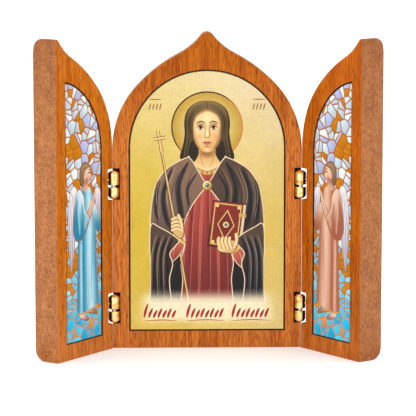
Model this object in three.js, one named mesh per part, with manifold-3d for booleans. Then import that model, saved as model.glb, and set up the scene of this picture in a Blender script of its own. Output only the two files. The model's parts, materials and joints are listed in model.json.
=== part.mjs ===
// A small table triptych: an arched centre leaf and two half-width wings on barrel hinges, with a
// picture let into the front of each leaf. Millimetres, +Z up, the pictures face -Y at the centre leaf.
// The origin is on the surface it stands on, under the middle of the centre leaf's thickness.
import * as THREE from 'three';
import { mergeVertices } from 'three/addons/utils/BufferGeometryUtils.js';
import Module from 'manifold-3d';

const wasm = await Module();
wasm.setup();

// Board and arch
const leafHeight = 138;
const leafWidth = 82;
const boardThickness = 12;
const backRounding = 5;        // radius routed along the outside edges
const shoulderTurn = 47;       // degrees from upright at which the shoulder arc hands over to the flank
const flankRadius = 66;        // the slightly rounded flank above the shoulder
const flankTurn = 27.3;        // degrees, the flattest part of the flank
const neckTurn = 52.9;         // degrees, the steepest part below the tip
const tipRadius = 3.2;

// Wings
const restAngle = 54.5;        // how far each wing is swung forward from lying flat beside the centre leaf
const foldedGap = 0.3;         // between the faces of a folded wing and the centre leaf
const meetingGap = 0.5;        // between the two wings when both are folded
const axisInset = 0.5;         // hinge axis inside the centre leaf's side
const swingGap = 0.2;          // between the leaves' sides when a wing lies flat

// Pictures
const centreMargin = 7.5;      // wood left round the centre picture
const wingMargin = 8;          // wood left beside the arch and the hinged side of a wing's picture
const meetingMargin = 6.6;     // wood left at a wing's free edge
const centreBottomMargin = 8;
const wingBottomMargin = 7.4;
const centreRise = 0.8;        // the centre picture's arch springs this far above its leaf's
const wingDrop = 0.6;          // and the wing pictures' arches this far below theirs
const pictureThickness = 1.2;
const pictureRecess = 0.3;     // face of the picture below the face of the wood
const pictureGap = 0.4;        // scored line round each picture
const bedGap = 0.3;            // glue bed behind each picture

// Hinges
const hingeHeights = { upper: 72.3, lower: 17.8 };
const notchWidth = 3.15;
const notchHeight = 13.6;
const notchDepth = 3;
const barrelDiameter = 4.8;
const barrelDome = 1.7;
const upperBarrelLength = 6.5;
const lowerBarrelLength = 5.3;
const barrelGap = 0.95;        // pin showing between the two barrels
const barrelDrop = 0.18;       // stack of barrels below the middle of the notch
const barrelWall = 1.1;
const pinDiameter = 2;
const pinPlay = 0.3;
const pinReach = 3;            // how far the pin goes into each barrel
const shankDiameter = 2;
const shankLength = 8;
const shankPlay = 0.3;
const shankTurn = 45;          // degrees between the shank and the leaf's face

// Facets
const shoulderSteps = 14;
const flankSteps = 5;
const neckSteps = 5;
const tipSteps = 5;
const roundingSteps = 5;
const pictureSteps = 48;
const barrelSides = 16;
const domeSteps = 4;
const shankSides = 10;

// Worked out from the sizes above
const axisX = leafWidth / 2 - axisInset;
const axisY = -boardThickness / 2 - foldedGap / 2;
const wingHalfArch = axisX - axisInset - swingGap;
const boreRadius = shankDiameter / 2 + shankPlay;
const overrun = 1;             // how far cutters stand out of what they cut

const board = new THREE.MeshStandardMaterial({ color: 0xc4732f, roughness: 0.55, metalness: 0 });
const print = new THREE.MeshStandardMaterial({ color: 0xd9b566, roughness: 0.4, metalness: 0 });
const brass = new THREE.MeshStandardMaterial({ color: 0xd8b878, roughness: 0.25, metalness: 1 });
const steel = new THREE.MeshStandardMaterial({ color: 0xb8b4ac, roughness: 0.35, metalness: 1 });

// Closed solids

function withoutSlivers(geometry) {
  geometry.deleteAttribute('normal');
  geometry.deleteAttribute('uv');
  const merged = mergeVertices(geometry, 1e-4);
  const kept = [];
  for (let i = 0; i < merged.index.count; i += 3) {
    const [a, b, c] = [0, 1, 2].map((k) => merged.index.getX(i + k));
    if (a !== b && b !== c && c !== a) kept.push(a, b, c);
  }
  merged.setIndex(kept);
  return merged;
}

function toSolid(geometry) {
  const merged = withoutSlivers(geometry);
  return new wasm.Manifold(new wasm.Mesh({
    numProp: 3,
    vertProperties: new Float32Array(merged.attributes.position.array),
    triVerts: new Uint32Array(merged.index.array),
  }));
}

function toGeometry(solid) {
  const mesh = solid.getMesh();
  const geometry = new THREE.BufferGeometry();
  geometry.setAttribute('position', new THREE.BufferAttribute(mesh.vertProperties, 3));
  geometry.setIndex(new THREE.BufferAttribute(mesh.triVerts, 1));
  geometry.computeVertexNormals();
  return geometry;
}

function cut(geometry, cutters) {
  return toGeometry(cutters.reduce((solid, cutter) => solid.subtract(toSolid(cutter)), toSolid(geometry)));
}

// The same piece for the other side: mirrored in X, with its faces turned out again.
function mirrored(geometry) {
  const copy = geometry.clone().scale(-1, 1, 1);
  const index = copy.index.array;
  for (let i = 0; i < index.length; i += 3) [index[i], index[i + 1]] = [index[i + 1], index[i]];
  copy.computeVertexNormals();
  return copy;
}

function boxBetween(low, high) {
  const size = high.map((value, i) => value - low[i]);
  return new THREE.BoxGeometry(...size).translate(...low.map((value, i) => value + size[i] / 2));
}

// The arch

const radians = THREE.MathUtils.degToRad;

function arcPoints(centre, radius, from, to, steps) {
  const clockwise = to < from;
  return new THREE.EllipseCurve(centre.x, centre.y, radius, radius, radians(from), radians(to), clockwise)
    .getPoints(steps);
}

// Four tangent arcs make one side of the arch: a round shoulder, a flatter flank, a hollow neck and the
// rounded tip. The neck's radius is what brings the side to the middle of the leaf.
function archArcs(halfWidth) {
  const [shoulder, flank, neck] = [shoulderTurn, flankTurn, neckTurn].map(radians);
  const flankEnd = new THREE.Vector2(
    halfWidth * Math.sin(shoulder) - flankRadius * (Math.sin(shoulder) - Math.sin(flank)),
    halfWidth * Math.cos(shoulder) + flankRadius * (Math.cos(flank) - Math.cos(shoulder)),
  );
  const neckRadius = (flankEnd.x - tipRadius * Math.sin(neck)) / (Math.sin(neck) - Math.sin(flank));
  const rise = flankEnd.y + neckRadius * (Math.cos(flank) - Math.cos(neck)) + tipRadius * (1 - Math.cos(neck));
  const springing = leafHeight - rise;
  const flankShift = halfWidth - flankRadius;
  return {
    springing,
    neckRadius,
    shoulderCentre: new THREE.Vector2(0, springing),
    flankCentre: new THREE.Vector2(flankShift * Math.sin(shoulder), springing + flankShift * Math.cos(shoulder)),
    neckCentre: new THREE.Vector2(
      flankEnd.x + neckRadius * Math.sin(flank),
      springing + flankEnd.y + neckRadius * Math.cos(flank),
    ),
    tipCentre: new THREE.Vector2(0, leafHeight - tipRadius),
  };
}

// The leaf's outline brought in everywhere by an inset. Past the tip's own radius the two hollow necks
// meet in a point, and the tip's arc shrinks to it, so every inset has the same number of points.
function archOutline(halfWidth, inset) {
  const arch = archArcs(halfWidth);
  const neckInset = arch.neckRadius + inset;
  const tipLeft = tipRadius - inset;
  const neckEnd = tipLeft > 0 ? neckTurn : THREE.MathUtils.radToDeg(Math.asin(arch.neckCentre.x / neckInset));
  const neck = arcPoints(arch.neckCentre, neckInset, 270 - flankTurn, 270 - neckEnd, neckSteps);
  const tip = tipLeft > 0
    ? arcPoints(arch.tipCentre, tipLeft, 90 - neckTurn, 90, tipSteps)
    : Array(tipSteps + 1).fill(new THREE.Vector2(0, neck.at(-1).y));
  if (tipLeft <= 0) neck.pop();
  const side = [
    new THREE.Vector2(halfWidth - inset, inset),
    ...arcPoints(arch.shoulderCentre, halfWidth - inset, 0, 90 - shoulderTurn, shoulderSteps),
    ...arcPoints(arch.flankCentre, flankRadius - inset, 90 - shoulderTurn, 90 - flankTurn, flankSteps).slice(1),
    ...neck.slice(1),
    ...(tipLeft > 0 ? tip.slice(1) : tip),
  ];
  const otherSide = side.slice(0, -1).reverse().map((point) => new THREE.Vector2(-point.x, point.y));
  return [...side, ...otherSide];
}

function capTriangles(outline) {
  const distinct = outline.filter((point, i) => point.distanceTo(outline.at(i - 1)) > 1e-6);
  const faces = THREE.ShapeUtils.triangulateShape(distinct, []);
  return faces.map((face) => face.map((i) => outline.indexOf(distinct[i])));
}

// A board with the arch's outline: front face at y = 0, back at y = boardThickness, back edges rounded.
function archedBoard(halfWidth) {
  const levels = [{ y: 0, inset: 0 }];
  for (let step = 0; step <= roundingSteps; step += 1) {
    const angle = (Math.PI / 2) * (step / roundingSteps);
    levels.push({
      y: boardThickness - backRounding * (1 - Math.sin(angle)),
      inset: backRounding * (1 - Math.cos(angle)),
    });
  }
  const rings = levels.map(({ y, inset }) => ({ y, outline: archOutline(halfWidth, inset) }));
  const count = rings[0].outline.length;
  const positions = rings.flatMap(({ y, outline }) => outline.flatMap((point) => [point.x, y, point.y]));
  const index = [];
  for (let ring = 0; ring < rings.length - 1; ring += 1) {
    for (let i = 0; i < count; i += 1) {
      const next = (i + 1) % count;
      const [front, frontNext] = [ring * count + i, ring * count + next];
      index.push(front, front + count, frontNext + count, front, frontNext + count, frontNext);
    }
  }
  const back = (rings.length - 1) * count;
  for (const [a, b, c] of capTriangles(rings[0].outline)) index.push(a, b, c);
  for (const [a, b, c] of capTriangles(rings.at(-1).outline)) index.push(back + a, back + c, back + b);
  const geometry = new THREE.BufferGeometry();
  geometry.setAttribute('position', new THREE.Float32BufferAttribute(positions, 3));
  geometry.setIndex(index);
  return geometry;
}

// Pictures

// A panel from nearSide across to farSide under a round arch, grown everywhere by a gap, as deep as asked,
// with its front at y = 0.
function picturePanel({ springing, nearSide, farSide, foot }, gap, depth) {
  const [near, far, bottom] = [nearSide - gap, farSide + gap, foot - gap];
  const shape = new THREE.Shape();
  shape.moveTo(near, bottom);
  shape.lineTo(far, bottom);
  shape.lineTo(far, springing);
  shape.absarc(0, springing, far, 0, Math.acos(near / far), false);
  shape.closePath();
  const settings = { depth, bevelEnabled: false, curveSegments: pictureSteps };
  return new THREE.ExtrudeGeometry(shape, settings).rotateX(Math.PI / 2).translate(0, depth, 0);
}

// Each picture and the bed cut for it, for a leaf whose arch stands on the middle of the local frame.
function pictureSet(sizes) {
  const bedDepth = pictureRecess + pictureThickness + bedGap;
  return {
    picture: withoutSlivers(picturePanel(sizes, 0, pictureThickness)).translate(0, pictureRecess, 0),
    bed: picturePanel(sizes, pictureGap, bedDepth + overrun).translate(0, -overrun, 0),
  };
}

// Hinges, about their own upright axis, the left side's

const stackTop = notchHeight / 2 - (notchHeight - upperBarrelLength - barrelGap - lowerBarrelLength) / 2 - barrelDrop;
const gapTop = stackTop - upperBarrelLength;
const gapBottom = gapTop - barrelGap;

// A turned barrel with a domed end and a blind bore for the pin, its flat end at z = 0 and its dome up.
function barrel(length) {
  const radius = barrelDiameter / 2;
  const boreWall = radius - barrelWall;
  const boreDepth = pinReach + pinPlay;
  const domeRadius = (radius * radius + barrelDome * barrelDome) / (2 * barrelDome);
  const domeTurn = THREE.MathUtils.radToDeg(Math.asin(radius / domeRadius));
  const dome = arcPoints({ x: 0, y: length - domeRadius }, domeRadius, 90 - domeTurn, 90, domeSteps);
  dome.at(-1).x = 0;
  const profile = [
    new THREE.Vector2(0, boreDepth),
    new THREE.Vector2(boreWall, boreDepth),
    new THREE.Vector2(boreWall, 0),
    new THREE.Vector2(radius, 0),
    ...dome,
  ];
  return new THREE.LatheGeometry(profile, barrelSides).rotateX(Math.PI / 2);
}

// A threaded shank's plain cylinder, from just inside the barrel's wall out into the leaf.
function shankRod(radius, reach, side, height) {
  const start = barrelDiameter / 2 - barrelWall / 2;
  const length = reach - start;
  const turn = radians(shankTurn);
  return new THREE.CylinderGeometry(radius, radius, length, shankSides)
    .rotateZ(Math.PI / 2)
    .translate(start + length / 2, 0, 0)
    .rotateZ(turn)
    .scale(side, 1, 1)
    .translate(0, 0, height);
}

function outward(geometry, side) {
  const solid = withoutSlivers(geometry);
  if (side > 0) return solid;
  const index = solid.index.array;
  for (let i = 0; i < index.length; i += 3) [index[i], index[i + 1]] = [index[i + 1], index[i]];
  return solid;
}

const shankHeight = {
  wing: (gapTop + stackTop - barrelDome) / 2,
  centre: (gapBottom + gapBottom - lowerBarrelLength + barrelDome) / 2,
};

function wingBarrel() {
  const body = barrel(upperBarrelLength).translate(0, 0, gapTop);
  const shank = outward(shankRod(shankDiameter / 2, shankLength, -1, shankHeight.wing), -1);
  return toGeometry(toSolid(body).add(toSolid(shank)));
}

function centreBarrel() {
  const body = barrel(lowerBarrelLength).rotateX(Math.PI).translate(0, 0, gapBottom);
  const shank = shankRod(shankDiameter / 2, shankLength, 1, shankHeight.centre);
  return toGeometry(toSolid(body).add(toSolid(shank)));
}

function hingePin() {
  const length = barrelGap + 2 * pinReach;
  const middle = (gapTop + gapBottom) / 2;
  return withoutSlivers(new THREE.CylinderGeometry(pinDiameter / 2, pinDiameter / 2, length, barrelSides)
    .rotateX(Math.PI / 2).translate(0, 0, middle));
}

// What one hinge takes out of a leaf, about the hinge axis: the square notch in the leaf's corner and the
// bore for the shank. side is +1 for the centre leaf and -1 for the wing, as seen at the left hinge.
function hingeCutters(side, edge, height, shankZ) {
  const face = foldedGap / 2;
  const inner = edge + side * notchWidth;
  const outer = edge - side * overrun;
  const notch = boxBetween(
    [Math.min(inner, outer), face - overrun, height - notchHeight / 2],
    [Math.max(inner, outer), face + notchDepth, height + notchHeight / 2],
  );
  return [notch, outward(shankRod(boreRadius, shankLength + shankPlay, side, height + shankZ), side)];
}

// Leaves

function centrePanel(bed) {
  const cutters = [bed.translate(0, -boardThickness / 2, 0)];
  for (const height of Object.values(hingeHeights)) {
    for (const cutter of hingeCutters(1, -axisInset, height, shankHeight.centre)) {
      const left = withoutSlivers(cutter).translate(-axisX, axisY, 0);
      cutters.push(left, mirrored(left));
    }
  }
  return cut(archedBoard(leafWidth / 2).translate(0, -boardThickness / 2, 0), cutters);
}

// The left wing about its hinge axis: half an arch, cut off flat where the two wings meet.
function wingPanel(bed) {
  const face = foldedGap / 2;
  const toAxis = [-axisX, face, 0];
  const otherHalf = boxBetween(
    [-wingHalfArch - overrun, -overrun, -overrun],
    [meetingGap / 2, boardThickness + overrun, leafHeight + overrun],
  );
  const cutters = [otherHalf.translate(...toAxis), bed.translate(...toAxis)];
  for (const height of Object.values(hingeHeights)) {
    cutters.push(...hingeCutters(-1, -axisInset - swingGap, height, shankHeight.wing));
  }
  return cut(archedBoard(wingHalfArch).translate(...toAxis), cutters);
}

// The triptych

function piece(name, geometry, material, x = 0, y = 0, z = 0) {
  const mesh = new THREE.Mesh(geometry, material.clone());
  mesh.name = name;
  mesh.position.set(x, y, z);
  return mesh;
}

function centreLeaf() {
  const leaf = new THREE.Group();
  const farSide = leafWidth / 2 - centreMargin;
  const springing = archArcs(leafWidth / 2).springing + centreRise;
  const { picture, bed } = pictureSet({ springing, nearSide: -farSide, farSide, foot: centreBottomMargin });
  leaf.add(piece('centre_panel', centrePanel(bed), board));
  leaf.add(piece('centre_picture', picture, print, 0, -boardThickness / 2, 0));
  const lowerBarrel = centreBarrel();
  const pin = hingePin();
  for (const [level, height] of Object.entries(hingeHeights)) {
    for (const [name, side] of [['left', -1], ['right', 1]]) {
      const shape = side < 0 ? lowerBarrel : mirrored(lowerBarrel);
      leaf.add(piece(`${level}_${name}_hinge_bottom_barrel`, shape, brass, side * axisX, axisY, height));
      leaf.add(piece(`${level}_${name}_hinge_pin`, pin, steel, side * axisX, axisY, height));
    }
  }
  return leaf;
}

function wing(name, side, panel, picture, upperBarrel) {
  const leaf = new THREE.Group();
  const sided = (geometry) => (side < 0 ? geometry : mirrored(geometry));
  leaf.position.set(side * axisX, axisY, 0);
  leaf.rotation.z = -side * radians(restAngle);
  leaf.add(piece(`${name}_wing_panel`, sided(panel), board));
  leaf.add(piece(`${name}_wing_picture`, sided(picture), print));
  for (const [level, height] of Object.entries(hingeHeights)) {
    leaf.add(piece(`${level}_${name}_hinge_top_barrel`, sided(upperBarrel), brass, 0, 0, height));
  }
  return leaf;
}

const triptych = new THREE.Group();
triptych.add(centreLeaf());
const wingPictures = pictureSet({
  springing: archArcs(wingHalfArch).springing - wingDrop,
  nearSide: meetingGap / 2 + meetingMargin,
  farSide: wingHalfArch - wingMargin,
  foot: wingBottomMargin,
});
const leftPanel = wingPanel(wingPictures.bed);
const leftPicture = wingPictures.picture.translate(-axisX, foldedGap / 2, 0);
const topBarrel = wingBarrel();
triptych.add(wing('left', -1, leftPanel, leftPicture, topBarrel));
triptych.add(wing('right', 1, leftPanel, leftPicture, topBarrel));

export default triptych;
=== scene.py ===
# A small hinged table triptych: stained veneer leaves, brass barrel hinges and three let-in prints.
import json
import math
import random
import bmesh
import bpy
import numpy as np
from mathutils import Matrix, Vector
from mathutils.geometry import delaunay_2d_cdt


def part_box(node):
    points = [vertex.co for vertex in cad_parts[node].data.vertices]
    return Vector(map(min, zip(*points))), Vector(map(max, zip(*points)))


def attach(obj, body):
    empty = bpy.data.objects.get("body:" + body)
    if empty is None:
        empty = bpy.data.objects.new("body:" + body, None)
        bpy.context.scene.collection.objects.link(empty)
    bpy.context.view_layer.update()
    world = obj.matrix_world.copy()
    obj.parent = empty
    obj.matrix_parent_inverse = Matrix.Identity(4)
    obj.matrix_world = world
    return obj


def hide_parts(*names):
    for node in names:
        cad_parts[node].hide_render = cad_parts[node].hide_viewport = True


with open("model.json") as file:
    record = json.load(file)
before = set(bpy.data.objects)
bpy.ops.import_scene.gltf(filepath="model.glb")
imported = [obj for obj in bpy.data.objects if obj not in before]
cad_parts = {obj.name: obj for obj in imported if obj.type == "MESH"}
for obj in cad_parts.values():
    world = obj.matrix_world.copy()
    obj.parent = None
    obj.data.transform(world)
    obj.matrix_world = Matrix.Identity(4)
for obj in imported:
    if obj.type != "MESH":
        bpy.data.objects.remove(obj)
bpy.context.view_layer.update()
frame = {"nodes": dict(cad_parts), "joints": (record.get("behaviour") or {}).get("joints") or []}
mm = 0.001
white = (1, 1, 1, 1)
print("frame loaded:", len(frame["nodes"]), "nodes")


# small helpers for objects and shader nodes

def linked(name, data):
    item = bpy.data.objects.new(name, data)
    bpy.context.scene.collection.objects.link(item)
    return item


def finished(name, form, materials, smoothBelow=None):
    mesh = bpy.data.meshes.new(name)
    form.to_mesh(mesh)
    form.free()
    for material in materials:
        mesh.materials.append(material)
    if smoothBelow is not None:
        mesh.shade_smooth()
        mesh.set_sharp_from_angle(angle=math.radians(smoothBelow))
    return linked(name, mesh)


def feed(tree, socket, value):
    if isinstance(value, (int, float, tuple)):
        socket.default_value = value
    else:
        tree.links.new(value, socket)


def dress(tree, node, values):
    for label, value in values.items():
        feed(tree, node.inputs[label], value)
    return node


def addNode(tree, kind, values):
    return dress(tree, tree.nodes.new("ShaderNode" + kind), values)


def objectPlace(tree):
    return tree.nodes.new("ShaderNodeTexCoord").outputs["Object"]


def addNoise(tree, place, scale, detail, roughness=0.6, warp=0.0):
    values = {"Vector": place, "Scale": scale, "Detail": detail, "Roughness": roughness, "Distortion": warp}
    return addNode(tree, "TexNoise", values).outputs["Fac"]


def addRange(tree, value, fromLow, fromHigh, toLow=0.0, toHigh=1.0):
    values = {"Value": value, "From Min": fromLow, "From Max": fromHigh, "To Min": toLow, "To Max": toHigh}
    return addNode(tree, "MapRange", values).outputs[0]


def addMath(tree, operation, first, second):
    node = tree.nodes.new("ShaderNodeMath")
    node.operation = operation
    feed(tree, node.inputs[0], first)
    feed(tree, node.inputs[1], second)
    return node.outputs[0]


def addMix(tree, factor, first, second, mode="MIX"):
    node = tree.nodes.new("ShaderNodeMix")
    node.data_type = "RGBA"
    node.blend_type = mode
    for socket, value in zip((node.inputs[0], node.inputs[6], node.inputs[7]), (factor, first, second)):
        feed(tree, socket, value)
    return node.outputs[2]


def weighted(tree, first, second, share):
    rest = addMath(tree, "MULTIPLY", second, 1 - share)
    return addMath(tree, "ADD", addMath(tree, "MULTIPLY", first, share), rest)


def addBump(tree, height, distance, strength):
    values = {"Height": height, "Distance": distance, "Strength": strength}
    return addNode(tree, "Bump", values).outputs["Normal"]


def makeMaterial(name, finish, *given):
    material = bpy.data.materials.new(name)
    material.use_nodes = True
    tree = material.node_tree
    dress(tree, tree.nodes["Principled BSDF"], finish(tree, *given) if callable(finish) else finish)
    return material


def linear(colour):
    share = np.clip(colour, 0, 255) / 255
    return np.where(share <= 0.04045, share / 12.92, ((share + 0.055) / 1.055) ** 2.4)


def tone(red, green, blue):
    return (*linear((red, green, blue)).tolist(), 1)


# camera, floor and light

viewpoint = {
    "place": (-0.0277, -1.1632, 0.2384),
    "pitch": -8.68,   # degrees below level
    "swing": -1.39,   # degrees to the right of straight ahead
    "lens": 233.7,
    "clip": (0.05, 30),
}
studio = {
    "floorColour": (0.96, 0.96, 0.955, 1),
    "floorSize": 14,
    "floorGlow": 0.22,
    "floorRoughness": 0.9,
    "floorSpecular": 0.1,
    "skyBack": 1.6,
    "skyFront": 0.42,
    "skyFade": (-1, 0.3),   # from the direction of -Y to a little past the middle
    "aim": (0, 0, 0.07),
}
lamps = {
    "keyLight": {"place": (-0.6, -1.7, 0.5), "size": 1.1, "power": 10},
    "fillLight": {"place": (0.8, -0.9, 0.45), "size": 0.8, "power": 2.3},
}


def makeCamera():
    camera = linked("camera", bpy.data.cameras.new("camera"))
    camera.location = viewpoint["place"]
    camera.rotation_euler = (math.radians(90 + viewpoint["pitch"]), 0, math.radians(viewpoint["swing"]))
    camera.data.lens = viewpoint["lens"]
    camera.data.clip_start, camera.data.clip_end = viewpoint["clip"]
    bpy.context.scene.camera = camera


def makeFloor():
    form = bmesh.new()
    bmesh.ops.create_grid(form, x_segments=1, y_segments=1, size=studio["floorSize"] / 2)
    pale = {"Base Color": studio["floorColour"], "Roughness": studio["floorRoughness"],
            "Specular IOR Level": studio["floorSpecular"], "Emission Color": white,
            "Emission Strength": studio["floorGlow"]}
    floor = finished("floor", form, [makeMaterial("paleFloor", pale)])


def makeLamp(name, look):
    lamp = linked(name, bpy.data.lights.new(name, "AREA"))
    lamp.data.size = look["size"]
    lamp.data.energy = look["power"]
    lamp.location = look["place"]
    aim = Vector(studio["aim"]) - Vector(look["place"])
    lamp.rotation_euler = aim.to_track_quat("-Z", "Y").to_euler()


def makeSky():
    world = bpy.data.worlds.new("softStudio")
    bpy.context.scene.world = world
    world.use_nodes = True
    tree = world.node_tree
    split = addNode(tree, "SeparateXYZ", {0: tree.nodes.new("ShaderNodeTexCoord").outputs["Generated"]})
    fade = addRange(tree, split.outputs["Y"], *studio["skyFade"], studio["skyFront"], studio["skyBack"])
    seen = tree.nodes.new("ShaderNodeLightPath")   # the camera itself sees an even white backdrop
    brighter = addMath(tree, "MAXIMUM", fade, seen.outputs["Is Camera Ray"])
    dress(tree, tree.nodes["Background"], {"Color": white, "Strength": brighter})


makeCamera()
makeFloor()
makeSky()
for name, look in lamps.items():
    makeLamp(name, look)
bpy.context.scene.view_settings.view_transform = "Standard"
print("camera, floor and light are in place")


# where each leaf stands, read from the frame

class Leaf:
    def __init__(self, name, body, origin, turn, face):
        self.name = name
        self.body = body
        self.face = face   # depth of the wood's front face in the leaf's own frame
        self.turn = turn
        self.toWorld = Matrix.Translation(origin) @ Matrix.Rotation(turn, 4, "Z")
        self.toLeaf = self.toWorld.inverted()

    def span(self, node):
        points = [self.toLeaf @ vertex.co for vertex in frame["nodes"][node].data.vertices]
        return [Vector([pick(point[axis] for point in points) for axis in range(3)]) for pick in (min, max)]


def readLeaves():
    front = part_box("centre_panel")[0][1]
    leaves = {"centre": Leaf("centre", "centre_leaf", (0, 0, 0), 0, front)}
    for joint in frame["joints"]:
        side = joint["child"].split("_")[0]
        opened = math.radians(-joint["range_deg"][0]) * joint["axis"][2]
        leaves[side] = Leaf(side, joint["child"], joint["pos_m"], opened, abs(joint["pos_m"][1] - front))
    return leaves


leaves = readLeaves()


# materials; a look's scale is per metre, across the leaf and along it

grain = {
    "bands": {"scale": (250, 9), "detail": 3, "roughness": 0.55, "warp": 0.3, "range": (0.36, 0.66)},
    "fibres": {"scale": (2300, 60), "detail": 3, "roughness": 0.65, "range": (0.38, 0.62)},
    "pores": {"scale": (2700, 260), "detail": 1, "roughness": 0.5, "range": (0.54, 0.66)},
    "bandShare": 0.35,
    "poreCover": 0.66,
    "gloss": (0.46, 0.36),   # roughness of the dark and the light parts
    "fibreHeight": 0.4,
    "relief": (0.05 * mm, 0.5),   # height and strength
    "specular": 0.09,
}
board = {
    "clouds": {"scale": (260, 143), "detail": 3, "roughness": 0.6, "range": (0.3, 0.7)},
    "grit": {"scale": (1150, 632.5), "detail": 3, "roughness": 0.65, "range": (0.3, 0.7)},
    "specks": {"scale": (2300, 1265), "detail": 1, "roughness": 0.5, "range": (0.6, 0.72)},
    "cloudShare": 0.4,
    "speckCover": 0.55,
    "light": (196, 131, 79),
    "dark": (124, 62, 28),
    "fleck": (216, 166, 116),
    "crown": (0.1, 0.137),   # the height in metres over which the painted shade on the board edge deepens
    # over this height in metres, from the floor up, the board edge turns darker and more orange
    "foot": (0, 0.014),
    "footTint": (0.95, 0.82, 0.52, 1),
    "relief": (0.08 * mm, 0.5),
    "roughness": 0.6,
    "specular": 0.25,
}
# Each leaf's height tint multiplies its veneer from the lower height to the upper one, in metres. On the
# centre leaf it deepens the crown: partly painted shade against the brighter light up there, partly the
# wood's deeper orange. On the wings it makes the lowest 5 cm lighter and paler.
veneers = {
    # Each edge pair tints the board edge from the lower crown height to the upper one, with painted shade
    # darkening the top. The right leaf's pair is darker throughout: painted shade on that side.
    "centre": {"light": (216, 130, 54), "dark": (152, 68, 8), "pore": (112, 40, 4),
               "tintByHeight": (0.085, 0.125, white, (0.79, 0.66, 0.1, 1)),
               "edge": ((0.96, 0.93, 0.83, 1), (0.78, 0.69, 0.52, 1))},
    "left": {"light": (218, 128, 38), "dark": (150, 67, 2), "pore": (118, 44, 4),
             "tintByHeight": (0, 0.05, (1.1, 1.24, 2.9, 1), (0.98, 0.96, 0.6, 1)),
             "edge": ((0.96, 0.93, 0.83, 1), (0.78, 0.69, 0.52, 1))},
    "right": {"light": (210, 117, 32), "dark": (144, 59, 2), "pore": (110, 38, 4),
              "tintByHeight": (0, 0.05, (1.08, 1.2, 2, 1), (0.98, 0.92, 0.4, 1)),
              "edge": ((0.85, 0.79, 0.67, 1), (0.73, 0.64, 0.48, 1))},
}
brass = {
    "bright": (246, 220, 154),
    "tarnished": (206, 138, 48),
    "tarnish": {"scale": 420, "detail": 3, "range": (0.44, 0.64)},
    "turning": {"scale": (500, 4500), "detail": 3, "roughness": 0.6},
    "gloss": (0.3, 0.7, 0.12, 0.26),   # from this span of the noise to this span of roughness
    "relief": (0.02 * mm, 0.3),
}
scorched = {"first": (12, 4, 6), "second": (52, 20, 16), "noise": (900, 3),
            "gloss": (0, 1, 0.75, 0.95), "metal": 0}
steel = {"first": (225, 222, 214), "second": (176, 172, 165), "noise": (1500, 2),
         "gloss": (0.3, 0.7, 0.2, 0.34), "metal": 1}
socketKinds = {1: "NodeSocketFloat", 3: "NodeSocketVector", 4: "NodeSocketColor"}


def newGroup(name, inputs, outputs):
    group = bpy.data.node_groups.new(name, "ShaderNodeTree")
    for label, value in inputs.items():
        kind = socketKinds[np.size(value)]
        group.interface.new_socket(name=label, in_out="INPUT", socket_type=kind).default_value = value
    for label, size in outputs.items():
        group.interface.new_socket(name=label, in_out="OUTPUT", socket_type=socketKinds[size])
    return group, group.nodes.new("NodeGroupInput").outputs, group.nodes.new("NodeGroupOutput")


def stretchedNoise(tree, place, look):
    across, along = look["scale"]
    mapped = addNode(tree, "Mapping", {"Vector": place, "Scale": (across, across, along)}).outputs[0]
    return addNoise(tree, mapped, 1, look["detail"], look["roughness"], look.get("warp", 0.0))


def noiseLayers(tree, place, looks, names):
    chosen = [looks[name] for name in names]
    return [addRange(tree, stretchedNoise(tree, place, look), *look["range"]) for look in chosen]


# broad bands, fine fibres and short dark pores along Z, as stained veneer shows

def makeGrainGroup():
    group, given, end = newGroup(
        "uprightGrain",
        {"Vector": (0, 0, 0), "Light": white, "Dark": (0, 0, 0, 1), "Pore": (0, 0, 0, 1), "Pores": 1.0},
        {"Color": 4, "Roughness": 1, "Height": 1},
    )
    bands, fibres, pores = noiseLayers(group, given["Vector"], grain, ("bands", "fibres", "pores"))
    pores = addMath(group, "MULTIPLY", pores, given["Pores"])
    lightness = weighted(group, bands, fibres, grain["bandShare"])
    wood = addMix(group, lightness, given["Dark"], given["Light"])
    height = addMath(group, "SUBTRACT", addMath(group, "MULTIPLY", fibres, grain["fibreHeight"]), pores)
    dress(group, end, {"Color": addMix(group, pores, wood, given["Pore"]), "Height": height,
                       "Roughness": addRange(group, lightness, 0, 1, *grain["gloss"])})
    return group


# the routed edge of pressed board: fine flecks of fibre, darker where the stain soaked in

def makeFleckGroup():
    group, given, end = newGroup(
        "pressedFlecks",
        {"Vector": (0, 0, 0), "Light": white, "Dark": (0, 0, 0, 1), "Fleck": white},
        {"Color": 4, "Height": 1},
    )
    clouds, grit, specks = noiseLayers(group, given["Vector"], board, ("clouds", "grit", "specks"))
    lightness = weighted(group, clouds, grit, board["cloudShare"])
    pressed = addMix(group, lightness, given["Dark"], given["Light"])
    specks = addMath(group, "MULTIPLY", specks, board["speckCover"])
    flecked = addMix(group, specks, pressed, given["Fleck"])
    dress(group, end, {"Color": flecked, "Height": grit})
    return group


grainGroup = makeGrainGroup()
fleckGroup = makeFleckGroup()


def addGroup(tree, group, values):
    node = tree.nodes.new("ShaderNodeGroup")
    node.node_tree = group
    return dress(tree, node, values).outputs


def leafPlace(tree, leaf):
    turned = {"Vector": objectPlace(tree), "Rotation": (0, 0, -leaf.turn)}
    return addNode(tree, "Mapping", turned).outputs[0]


def heightTint(tree, start, end, low, high):
    height = addNode(tree, "SeparateXYZ", {0: objectPlace(tree)}).outputs["Z"]
    return addMix(tree, addRange(tree, height, start, end), low, high)


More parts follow.
